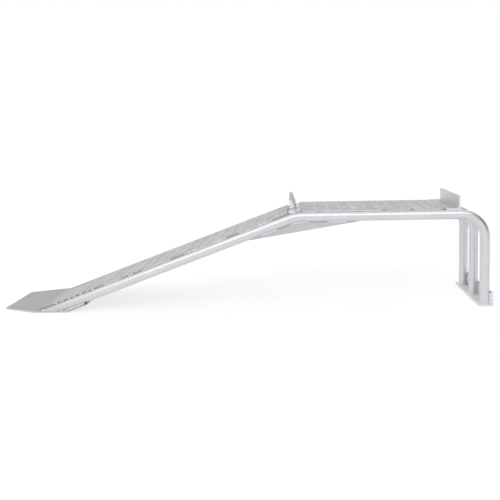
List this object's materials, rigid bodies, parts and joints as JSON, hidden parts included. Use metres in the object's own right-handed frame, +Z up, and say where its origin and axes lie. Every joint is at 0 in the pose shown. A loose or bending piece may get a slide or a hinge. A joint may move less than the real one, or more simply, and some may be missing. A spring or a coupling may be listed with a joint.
{
  "type": "loading ramp",
  "caption": "Three-tube aluminium loading ramp with a ribbed incline, a flat deck, a flip-over wheel stop at the knee and upright legs.",
  "frame": {"origin": "ground level, middle of the overall length and width", "axes": "+X along the ramp from the approach lip to the legs, +Y across, +Z up"},
  "size_m": [2.682, 0.382, 0.6006],
  "materials": {
    "tube_aluminium": "drawn tube, satin mill finish",
    "plate_aluminium": "rolled plate, dull mill finish",
    "rod_steel": "bright zinc plated"
  },
  "bodies": {
    "ramp": {"frame_tube_near": "tube_aluminium", "bend_gusset_near": "plate_aluminium", "stop_lug_near": "plate_aluminium", "frame_tube_middle": "tube_aluminium", "bend_gusset_middle": "plate_aluminium", "stop_lug_middle": "plate_aluminium", "frame_tube_far": "tube_aluminium", "bend_gusset_far": "plate_aluminium", "stop_lug_far": "plate_aluminium", "incline_deck": "plate_aluminium", "incline_tread_ribs": "plate_aluminium", "flat_deck": "plate_aluminium", "flat_tread_ribs": "plate_aluminium", "lip_plate": "plate_aluminium", "end_stop_angle": "plate_aluminium", "base_angle": "plate_aluminium", "stop_rest_block": "plate_aluminium", "stop_hinge_rod": "rod_steel", "stop_rod_circlips": "rod_steel"},
    "wheel_stop": {"wheel_stop_bar": "plate_aluminium", "wheel_stop_barrel_near": "plate_aluminium", "wheel_stop_barrel_far": "plate_aluminium"}
  },
  "joints": [
    {"name": "wheel_stop_fold", "type": "hinge", "parent": "ramp", "child": "wheel_stop", "pos_m": [0.2735, 0, 0.5408], "axis": [0, 1, 0], "range_deg": [0, 109]}
  ]
}
